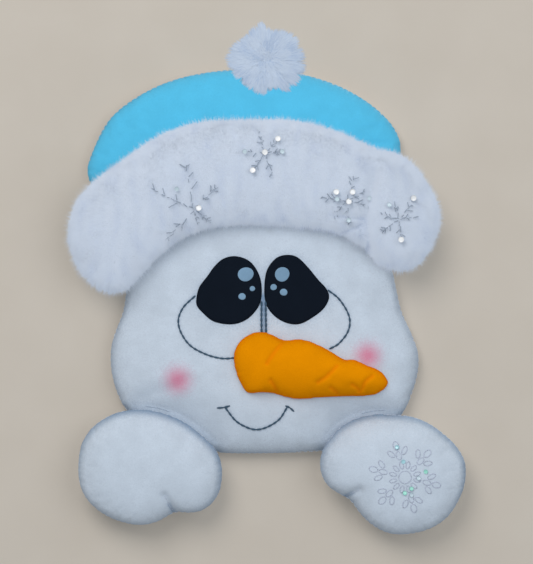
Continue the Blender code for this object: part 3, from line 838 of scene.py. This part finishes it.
def fur_way(roots, normals, rng=None):
    """How the pile leans: a smooth random field, combed down a little. Returns a vector along the cloth."""
    lean = 0.5 * wander(roots, 16 * MM, 1) + 0.35 * wander(roots, 6 * MM, 2) + (0, 0, -0.2)
    if rng is not None:
        lean = lean + 0.3 * rng.normal(size=roots.shape)
    return lean - np.sum(lean * normals, axis=1)[:, None] * normals


def make_fur(roll_piece, looks):
    """Short dense plush with a few longer hairs, spikier at the roll's two ends."""
    rng = np.random.default_rng(11)

    def hairy(places):
        return places[:, 1] < BRIM_PLANE + 7 * MM

    clump_roots, clump_normals = scatter(roll_piece, 2200, rng, hairy)
    clump_way = unit(clump_normals + fur_way(clump_roots, clump_normals))
    clump_tips = clump_roots + clump_way * FUR_LENGTH * rng.uniform(1.0, 1.25, len(clump_roots))[:, None]
    zones = {"left": (-200, -70), "middle_left": (-70, 0), "middle_right": (0, 68), "right": (68, 200)}
    for zone, (low, high) in zones.items():

        def in_zone(places, low=low, high=high):
            return hairy(places) & (places[:, 0] >= low * MM) & (places[:, 0] < high * MM)

        count = 50000
        roots, normals = scatter(roll_piece, count, rng, in_zone)
        flat = roots[:, [0, 2]]
        ends = np.clip((62 * MM - roots[:, 2]) / (22 * MM), 0, 1)
        side = 1 - np.abs(normals[:, 1])
        long = rng.random(count) < 0.15
        lean = fur_way(roots, normals, rng) * np.where(long, 1.3, 1.0)[:, None]
        length = FUR_LENGTH * rng.uniform(0.65, 0.95, count) * (1 + 0.25 * ends)
        length *= np.where(long & (side > 0.5), rng.uniform(1.4, 1.9, count) + 0.45 * ends, 1.0)
        tips = roots + length[:, None] * unit(0.9 * normals + lean)
        tips = gathered(roots, tips, clump_roots, clump_tips, 0.1 + 0.45 * ends)
        tone_and_crease_shade = wander(roots * (1, 1, 0.3), 6 * MM, 5)[:, 0] + rng.normal(size=count) * 0.2
        low_middle = np.exp(-((flat[:, 0] / (34 * MM)) ** 2) - ((flat[:, 1] - 84 * MM) / (9 * MM)) ** 2)
        tone_and_crease_shade -= 0.35 * low_middle
        # Painted shade: hairs along the pucker and the gathers take the darkest tints.
        for line in [BRIM_PUCKER[:3]] + BRIM_GATHERS:
            tone_and_crease_shade -= 1.4 * along(line, flat, 1.8 * MM)
        tints = np.digitize(tone_and_crease_shade, [-0.95, -0.35, 0.3])
        radius = rng.uniform(0.13, 0.2, count) * np.where(long, 1.2, 1.0) * MM
        hairs("brim_fur_" + zone, roots, tips, radius, normals, tints, looks, "figure", "plush")


def make_pom_pom(hat_depth, looks):
    """A ball of cut yarn ends in tufts, some of which stand out round it."""
    rng = np.random.default_rng(5)
    count, clumps = 12500, 90
    way = unit(rng.normal(size=(count, 3)))
    clump_way = unit(rng.normal(size=(clumps, 3)))
    turns, reaches = np.radians([turn for turn, _ in POM_TUFTS]), [reach for _, reach in POM_TUFTS]
    spread = np.column_stack([np.cos(turns), np.full(len(turns), -0.15), np.sin(turns)])
    clump_way = np.vstack([clump_way, unit(spread)])

    def reach(ways):
        outline = np.interp(np.arctan2(ways[:, 2], ways[:, 0]), turns, reaches, period=2 * math.pi) * MM
        share = np.hypot(ways[:, 0], ways[:, 2]) ** 2
        return POM_RADIUS + share * (outline - POM_RADIUS)

    centre = np.array(POM_CENTRE)
    roots = centre + way * 8 * MM
    tips = centre + way * (reach(way) * rng.uniform(0.78, 1.03, count))[:, None]
    clump_tips = centre + clump_way * (reach(clump_way) * rng.uniform(0.98, 1.08, len(clump_way)))[:, None]
    tips = gathered(roots, tips, centre + clump_way * 8 * MM, clump_tips, rng.uniform(0.1, 0.55, count))
    limit = hat_depth(tips[:, [0, 2]]) - 1.2 * MM
    tips[:, 1] = np.minimum(tips[:, 1], limit)
    roots[:, 1] = np.minimum(roots[:, 1], hat_depth(roots[:, [0, 2]]) - 3 * MM)
    bends = rng.normal(size=(count, 3)) * 0.8 * MM
    soft = wander(tips, 11 * MM, 7)[:, 0] + 0.3 * rng.normal(size=count)
    tints = np.digitize(soft, [-0.5, -0.15, 0.35])
    radius = rng.uniform(0.2, 0.32, count) * MM
    thing = strands("pom_pom_yarn", roots, tips, bends, radius, tints, looks, "pom_pom", "yarn")
    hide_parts("pom_pom")


def make_pupil(side, points_mm, dabs, depth, looks, dab_look):
    """A felt pupil with rounded edges, and painted highlights on it."""
    outline = smooth(points_mm, True, 1.2 * MM)
    flat, triangles = flat_sheet(outline, 1.3 * MM)
    thick = 0.25 * MM + 1.0 * MM * roll(depth_in(outline, flat), 1.6 * MM)
    front, skirt = on_surface(flat, depth, thick), on_surface(outline, depth, -0.6 * MM)
    rim, total = len(outline), len(front)
    walls = [(i, (i + 1) % rim, total + (i + 1) % rim, total + i) for i in range(rim)]
    after = np.roll(outline, -1, axis=0)
    if np.sum(outline[:, 0] * after[:, 1] - after[:, 0] * outline[:, 1]) > 0:
        walls = [tuple(reversed(wall)) for wall in walls]
    piece(side + "_pupil_felt", np.vstack([front, skirt]), triangles + walls, looks, "figure", "pupil_cloth",
          replaces=[side + "_pupil"])
    parts = []
    angle = 2 * math.pi * np.arange(DAB_SIDES) / DAB_SIDES
    for n, (x, z, half_width, half_height) in enumerate(dabs):
        wobble = 1 + 0.03 * np.sin(2 * angle + n) + 0.015 * np.sin(3 * angle + 2 * n)
        vertices = []
        for share, lift in ((0.0, 0.30), (0.55, 0.28), (0.85, 0.20), (1.0, -0.25)):
            place = np.column_stack([x + share * half_width * wobble * np.cos(angle),
                                     z + share * half_height * wobble * np.sin(angle)]) * MM
            vertices += list(on_surface(place, depth, 1.25 * MM + lift * MM))
        parts.append((vertices, wrapped(4, DAB_SIDES)))
    piece(side + "_pupil_highlights", *joined(parts), dab_look, "figure", "pupil_cloth")


def disc(centre, radius, tilt):
    """A tiny cupped sequin facing the front, tilted a little."""
    facing = Vector((tilt[0], -1, tilt[1])).normalized()
    side = facing.cross(Vector((0, 0, 1))).normalized()
    up = side.cross(facing)
    vertices = [Vector(centre) - facing * SEQUIN_THICK * 1.5]
    for reach, back in ((0.6, 0.4), (1.0, 0.0), (1.0, -1.0)):
        for k in range(SEQUIN_SIDES):
            angle = 2 * math.pi * k / SEQUIN_SIDES
            out = float(radius * reach) * (math.cos(angle) * side + math.sin(angle) * up)
            vertices.append(Vector(centre) + out + facing * SEQUIN_THICK * (-back))
    middle = [(0, 1 + k, 1 + (k + 1) % SEQUIN_SIDES) for k in range(SEQUIN_SIDES)]
    return vertices, middle + wrapped(3, SEQUIN_SIDES, start=1)


def laid_sequin(x, z, radius, depth, lift, rng):
    place = on_surface(np.array([[x, z]]) * MM, depth, lift)[0]
    return disc(place, radius, rng.uniform(-0.3, 0.3, 2))


def make_brim_flakes(depth, thread, glinting, pale):
    """Snowflakes of silver thread half sunk in the fur, each with a few loose sequins."""
    rng = np.random.default_rng(3)
    for name, (centre, arms, glinting_ones, pale_ones) in BRIM_FLAKES.items():
        parts = []
        for line in star_lines(centre, arms, rng):
            laid = on_surface(evenly(np.array(line) * MM, False, 1.0 * MM), depth, FLAKE_LIFT)
            laid[:, 1] += 0.5 * MM * rng.normal()
            parts.append(tube_mesh(laid, np.full(len(laid), rng.uniform(0.3, 0.45) * MM), 5))
        piece("brim_flake_" + name, *joined(parts), thread, "figure", "sequins",
              replaces=["brim_snowflake_" + name])
        parts, looks = [], []
        for look, (places, radius) in enumerate(((glinting_ones, 2.1 * MM), (pale_ones, 1.7 * MM))):
            for x, z in places:
                parts.append(laid_sequin(x, z, radius, depth, SEQUIN_LIFT, rng))
                looks += [look] * len(parts[-1][1])
        piece(f"brim_flake_{name}_sequins", *joined(parts), [glinting, pale], "figure", "sequins", looks)


def star_lines(centre, arms, rng):
    """Arms with short branches, all of broken stitches, in millimetres. An arm is (direction, length)."""
    lines = []
    middle = np.array(centre, float)
    for turn, length in arms:
        way = direction(turn)
        for start in np.arange(1.2, length - 1, 4.3):
            ends = middle + np.array([[start], [min(start + 3.2, length)]]) * way
            if rng.random() < 0.85:
                lines.append(ends + 0.5 * rng.normal(size=(2, 2)))
        for share, size in ((0.42, 0.24), (0.66, 0.22), (0.88, 0.15)):
            for hand in (-1, 1):
                if rng.random() < 0.34:
                    continue
                start = middle + length * (share + 0.04 * rng.normal()) * way
                reach = length * size * rng.uniform(0.6, 1.2)
                end = start + reach * direction(turn + rng.uniform(38, 62) * hand)
                lines.append(np.array([start + 0.15 * (end - start), end]))
    return lines


def direction(turn):
    return np.array([math.cos(math.radians(turn)), math.sin(math.radians(turn))])


def make_hand_flake(depth, thread, sequins):
    """The lacy snowflake on the right hand: loops of pale thread, with iridescent sequins."""
    middle = np.array((97.5, -95.3))
    lines = [oval(middle, 0, 4.4, 4.4)]
    for k in range(12):
        turn = FIRST_PETAL + 30 * k
        lines.append(oval(middle + 8.6 * direction(turn), turn, 2.6, 1.3))
    for k in range(6):
        turn = FIRST_PETAL + 60 * k
        lines.append(oval(middle + 15.6 * direction(turn), turn, 3.0, 1.7))
        lines.append(oval(middle + 22.6 * direction(turn), turn, 3.1, 2.0))
        for hand in (-1, 1):
            side = turn + 15 * hand
            lines.append(oval(middle + 18.6 * direction(side), side + 25 * hand, 3.0, 1.6))
    parts = []
    for line in lines:
        laid = on_surface(evenly(np.array(line) * MM, False, 1.0 * MM), depth, -0.05 * MM)
        parts.append(tube_mesh(laid, np.full(len(laid), 0.45 * MM), 5))
    piece("hand_flake_lace", *joined(parts), thread, "right_hand", "sequins", replaces=["hand_snowflake"])
    rng = np.random.default_rng(9)
    for i, (colour, places) in enumerate(HAND_SEQUINS.items()):
        parts = [laid_sequin(x, z, 1.5 * MM, depth, 0.9 * MM, rng) for x, z in places]
        piece(f"hand_flake_sequins_{i + 1}", *joined(parts), sequins[colour], "right_hand", "sequins")


def oval(centre, turn, half_length, half_width):
    """A closed oval, in millimetres, whose long axis points in a direction in degrees."""
    angle = np.linspace(0, 2 * math.pi, 17)[:, None]
    along, across = direction(turn), direction(turn + 90)
    return centre + half_length * np.cos(angle) * along + half_width * np.sin(angle) * across


def make_ring(brass):
    """A smooth brass ring, where the CAD one lies."""
    low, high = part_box("hanging_ring")
    wire = (high.y - low.y) / 2
    radius = (high.x - low.x) / 2 - wire
    centre = (low + high) / 2
    vertices, turns, sides = [], 96, 20
    for turn in np.linspace(0, 2 * math.pi, turns + 1)[:-1]:
        for k in range(sides):
            around = 2 * math.pi * k / sides
            reach = radius + wire * math.cos(around)
            vertices.append((centre.x + reach * math.cos(turn), centre.y + wire * math.sin(around),
                             centre.z + reach * math.sin(turn)))
    piece("hanging_ring_wire", vertices, wrapped(turns, sides, closed=True), brass, "hanging_ring", "brass",
          replaces=["hanging_ring"])


def make_tab(webbing):
    """The tape folded round the ring's wire, with its ribs."""
    low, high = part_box("hanging_tab")
    pivot = (low + high) / 2
    outer = (high.y - low.y) / 2
    inner = outer - 0.9 * MM
    vertices, faces = [], []
    steps, across = 40, 14
    for i in range(steps):
        turn = 2 * math.pi * i / steps
        for k in range(across + 1):
            x = low.x + (high.x - low.x) * k / across
            ribs = 0.05 * MM * math.cos(8 * math.pi * k / across)
            for reach in (outer + ribs, inner - ribs):
                vertices.append((x, pivot.y + reach * math.cos(turn), pivot.z + reach * math.sin(turn)))
    row = 2 * (across + 1)
    for i in range(steps):
        here, after = i * row, (i + 1) % steps * row
        for k in range(across):
            a, b = here + 2 * k, after + 2 * k
            faces += [(a, b, b + 2, a + 2), (a + 1, a + 3, b + 3, b + 1)]
        a, b = here + row, after + row
        faces += [(here, here + 1, after + 1, after), (a - 2, b - 2, b - 1, a - 1)]
    piece("hanging_tab_tape", vertices, faces, webbing, "figure", "webbing", replaces=["hanging_tab"])


def make_seam(name, thing_outline, plane, look, body):
    """Small whip stitches round a cushion's edge, where its two cloths meet."""
    edge = outset(thing_outline, -0.7 * MM)
    line = np.column_stack([edge[:, 0], np.full(len(edge), plane), edge[:, 1]])
    line = evenly(np.vstack([line, line[:1]]), False, 1.0 * MM)
    across, steps = np.array([0, 1.0 * MM, 0]), np.linspace(0, 1, 5)[:, None]
    parts = []
    for start, end in zip(line[:-4:4], line[3:-1:4]):
        stitch = start - across + steps * (end - start + 2 * across)
        parts.append(tube_mesh(stitch, np.array([0.1, 0.24, 0.28, 0.24, 0.1]) * MM, 6))
    piece(name, *joined(parts), look, body, "sewing_thread")


def band(edge, width, soft):
    """1 along an outline, fading out about width inside it."""
    return 1 / (1 + np.exp((edge - width) / soft))


def shade_head(thing, outline):
    """Darker at the rim, with a painted shadow beside the hands, round the pupils and along the stitches;
    pink on the cheeks.
    """
    flat = points_of(thing)[:, [0, 2]]
    edge = depth_in(outline, flat)
    shade = 0.2 * band(edge, 3.4 * MM, 0.9 * MM) + 0.45 * fading(edge, 1.3 * MM)
    # Painted shadow: the head darkens beside each hand, where the hand's shadow falls.
    for hand in (LEFT_HAND, RIGHT_HAND):
        away = -depth_in(smooth(hand, True, 3 * MM), flat)
        shade += 0.34 * np.exp(-((np.maximum(away, 0) / (4.5 * MM)) ** 2))
    shade += 0.15 * np.clip(1 - edge / (26 * MM), 0, 1) ** 2
    for pupil in (LEFT_PUPIL, RIGHT_PUPIL):
        shade += 0.28 * fading(-depth_in(smooth(pupil, True, 2 * MM), flat), 3.5 * MM)
    shade += 0.8 * along([(-0.9, 30), (-0.9, 6)], flat, 2.6 * MM)
    for line in (LEFT_EYE_LINE, RIGHT_EYE_LINE, SMILE_LINE):
        shade += 0.3 * along(line, flat, 1.8 * MM, 2 * MM)
    paint(thing, "shade", shade)
    blush = np.zeros(len(flat))
    for x, z, radius in CHEEKS:
        away = np.linalg.norm(flat - np.array((x, z)) * MM, axis=1)
        blush = np.maximum(blush, np.exp(-((away / (radius * MM)) ** 2) * 1.6))
    paint(thing, "blush", blush)


def shade_hand(thing, outline, thumb):
    """A brushed band along the upper and right edges, and a thin line along the others; painted shade along
    the thumb's crease.
    """
    flat = points_of(thing)[:, [0, 2]]
    edge = depth_in(outline, flat)
    away = unit(flat - outline.mean(0))
    lit = np.clip(0.5 + 0.9 * (away @ np.array((0.35, 0.94))), 0, 1)
    shade = (0.15 + 0.42 * lit) * band(edge, 3.4 * MM, 0.9 * MM)
    shade += 0.55 * fading(edge, 1.3 * MM)
    # Painted shade: darker along the thumb's crease.
    shade += 0.6 * along(thumb, flat, 1.5 * MM)
    shade += 0.12 * np.clip(1 - edge / (22 * MM), 0, 1) ** 2
    paint(thing, "shade", shade)


def shade_edge(thing, outline, creases=()):
    """Darker along the rim and in the creases."""
    flat = points_of(thing)[:, [0, 2]]
    shade = fading(depth_in(outline, flat), 1.5 * MM)
    for crease in creases:
        shade = np.maximum(shade, 0.35 * along(crease, flat, 1.6 * MM))
    paint(thing, "shade", shade)


def make_stage():
    """A plain pale wall just behind the figure, which is see-through from behind."""
    look, tree, shader = new_look("pale_wall", 0.9, colour=(0.60, 0.53, 0.45))
    shown = mix(tree, ramp(tree, add_noise(tree, 60 * MM, 5), 0.3, 0.7), *WALL)
    tree.links.new(shown, shader.inputs["Base Color"])
    backfacing = new_node(tree, "NewGeometry").outputs["Backfacing"]
    clear = new_node(tree, "BsdfTransparent").outputs[0]
    either = new_node(tree, "MixShader", {0: backfacing, 1: shader.outputs[0], 2: clear})
    tree.links.new(either.outputs[0], tree.nodes["Material Output"].inputs["Surface"])
    mesh = bpy.data.meshes.new("backdrop")
    size, plane = 3.0, 7 * MM
    mesh.from_pydata([(-size, plane, -size), (size, plane, -size), (size, plane, size), (-size, plane, size)],
                     [], [(0, 1, 2, 3)])
    mesh.materials.append(look)
    wall = bpy.data.objects.new("backdrop", mesh)
    bpy.context.scene.collection.objects.link(wall)
    wall.visible_shadow = False


def make_lights():
    for name, (place, size, power, colour) in LIGHTS.items():
        data = bpy.data.lights.new(name, "AREA")
        data.shape = "DISK"
        data.size, data.energy, data.color = size, power, colour
        light = bpy.data.objects.new(name, data)
        light.location = place
        light.rotation_euler = (Vector((0, 0, 0.05)) - Vector(place)).to_track_quat("-Z", "Y").to_euler()
        bpy.context.scene.collection.objects.link(light)
    world = bpy.data.worlds.new("soft_room")
    world.use_nodes = True
    background = world.node_tree.nodes["Background"]
    background.inputs["Color"].default_value = (0.84, 0.92, 1.0, 1)
    background.inputs["Strength"].default_value = 0.50
    bpy.context.scene.world = world
    bpy.context.scene.view_settings.view_transform = "Standard"


def make_camera():
    """Straight at the front, from far enough away to keep the parts in proportion."""
    data = bpy.data.cameras.new("camera")
    camera = bpy.data.objects.new("camera", data)
    bpy.context.scene.collection.objects.link(camera)
    away, plane, frame_height = 2.5, -0.02, 0.395
    camera.location = (1.05 * MM, -away + plane, 40.6 * MM)
    camera.rotation_euler = (math.pi / 2, 0, 0)
    data.sensor_width = 36
    data.lens = 36 * away / frame_height
    data.clip_end = 20
    bpy.context.scene.camera = camera


def make_cushions(backing):
    """The five simulated cushions, laid on each other: (piece, outline) by name, for all but the nose."""
    paints = [("shade", SHADE_BLUE, 0.85), ("blush", BLUSH, 0.83)]
    fleece = cloth_look("fleece_face", WHITE_FLEECE, 0.9 * MM, 0.5 * MM, 0.55, sheen=0.12, paints=paints)
    hand_fleece = cloth_look("fleece_hands", WHITE_FLEECE, 0.9 * MM, 0.5 * MM, 0.55, sheen=0.12,
                             paints=paints[:1])
    felt = cloth_look("sky_felt", SKY_FELT, 0.8 * MM, 0.4 * MM, 0.5, sheen=0.08, vary=0.04,
                      paints=[("shade", scaled(SKY_FELT, 0.6), 0.5)])
    carrot = cloth_look("carrot_felt", CARROT, 0.7 * MM, 0.35 * MM, 0.5, sheen=0.0, vary=0.05,
                        specular=0.0, paints=[("shade", CARROT_EDGE, 0.9)])

    left_outline, right_outline = (smooth(hand, True, 2.0 * MM) for hand in (LEFT_HAND, RIGHT_HAND))
    hands = (left_outline, right_outline)
    head, head_outline = make_head([fleece, backing], hands)
    hat, hat_outline = make_hat([felt, backing])
    left = make_hand("left_hand", left_outline, (-82, -90), [hand_fleece, backing], head_outline)
    right = make_hand("right_hand", right_outline, (90, -92), [hand_fleece, backing], head_outline)
    nose, nose_outline = make_nose([carrot, carrot])
    inflate([head, hat, left, right, nose])
    for thing in (head, hat, left, right, nose):
        refine(thing)

    points = points_of(head)
    limit = hand_limit(points[:, [0, 2]], hands)
    points[:, 1] = -soft_least(-points[:, 1], limit, 4.0 * MM)
    move_points(head, points)
    points = points_of(nose)
    points[:, 1] += front_of(head)(points[:, [0, 2]]) - 0.9 * MM
    move_points(nose, points)
    groove(nose, NOSE_CREASES, 1.1 * MM, 1.7 * MM)
    groove(left, [LEFT_THUMB], 2.6 * MM, 2.6 * MM)
    groove(right, [RIGHT_THUMB], 2.6 * MM, 2.6 * MM)
    shade_head(head, head_outline)
    shade_hand(left, left_outline, LEFT_THUMB[:2])
    shade_hand(right, right_outline, RIGHT_THUMB[:2])
    shade_edge(hat, hat_outline)
    shade_edge(nose, nose_outline, NOSE_CREASES)
    return {"head": (head, head_outline), "hat": (hat, hat_outline), "left_hand": (left, left_outline),
            "right_hand": (right, right_outline)}


def main():
    make_camera()
    make_lights()
    make_stage()
    backing = cloth_look("backing_felt", CLOTH_WHITE, 1.4 * MM, 0.3 * MM, 0.5)
    black = cloth_look("black_felt", BLACK_FELT, 0.6 * MM, 0.3 * MM, 0.5, sheen=0.0, specular=0.05)
    dab = cloth_look("painted_dab", DAB_BLUE, 0.7 * MM, 0.2 * MM, 0.4, sheen=0.0, vary=0.12)
    plush_backing = cloth_look("plush_backing", scaled(FUR, 0.92), 1.2 * MM, 0.5 * MM, 0.5)
    threads = {name: thread_look(name + "_thread", colour) for name, colour in THREADS.items()}
    sequins = {name: sequin_look(name + "_sequin", colour) for name, colour in SEQUINS.items()}

    cushions = make_cushions(backing)
    head, hat, left, right = (thing for thing, _ in cushions.values())
    face = front_of(head)
    brim = make_brim(front_of(head, hat), [plush_backing, backing], strand_looks("plush_fur", FUR, FUR_TINTS))
    make_pom_pom(front_of(hat), strand_looks("pom_yarn", YARN, YARN_TINTS))
    make_pupil("left", LEFT_PUPIL, LEFT_DABS, face, black, dab)
    make_pupil("right", RIGHT_PUPIL, RIGHT_DABS, face, black, dab)
    for name, (node, lines, radius) in FACE_THREADS.items():
        embroider(name, lines, face, threads["teal"], "figure", "thread", node, radius)
    for side, thing, line in (("left", left, LEFT_THUMB), ("right", right, RIGHT_THUMB)):
        embroider(side + "_thumb_thread", [line], front_of(thing), threads["lace"], side + "_hand", "thread",
                  side + "_hand_thumb_stitch", 0.25 * MM)
    for side, line in (("left", LEFT_STITCH), ("right", RIGHT_STITCH)):
        embroider(side + "_hand_sewing", [line], face, threads["shaded"], "figure", "sewing_thread",
                  side + "_hand_stitch", 0.28 * MM, 3 * MM)
    make_brim_flakes(front_of(brim), threads["silver"], sequins["glinting"], sequins["pale"])
    make_hand_flake(front_of(right), threads["lace"], sequins)
    for name, (_, outline) in cushions.items():
        on_hand = name.endswith("hand")
        make_seam(name + "_seam", outline, HAND_PLANE if on_hand else BACK_PLANE,
                  threads["sky" if name == "hat" else "white"], name if on_hand else "figure")
    make_ring(metal_look("brass", BRASS))
    make_tab(thread_look("tape", (0.6, 0.63, 0.67), 0.4 * MM))
    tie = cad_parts["pom_pom_tie"]
    tie.data.materials.clear()
    tie.data.materials.append(threads["white"])


main()
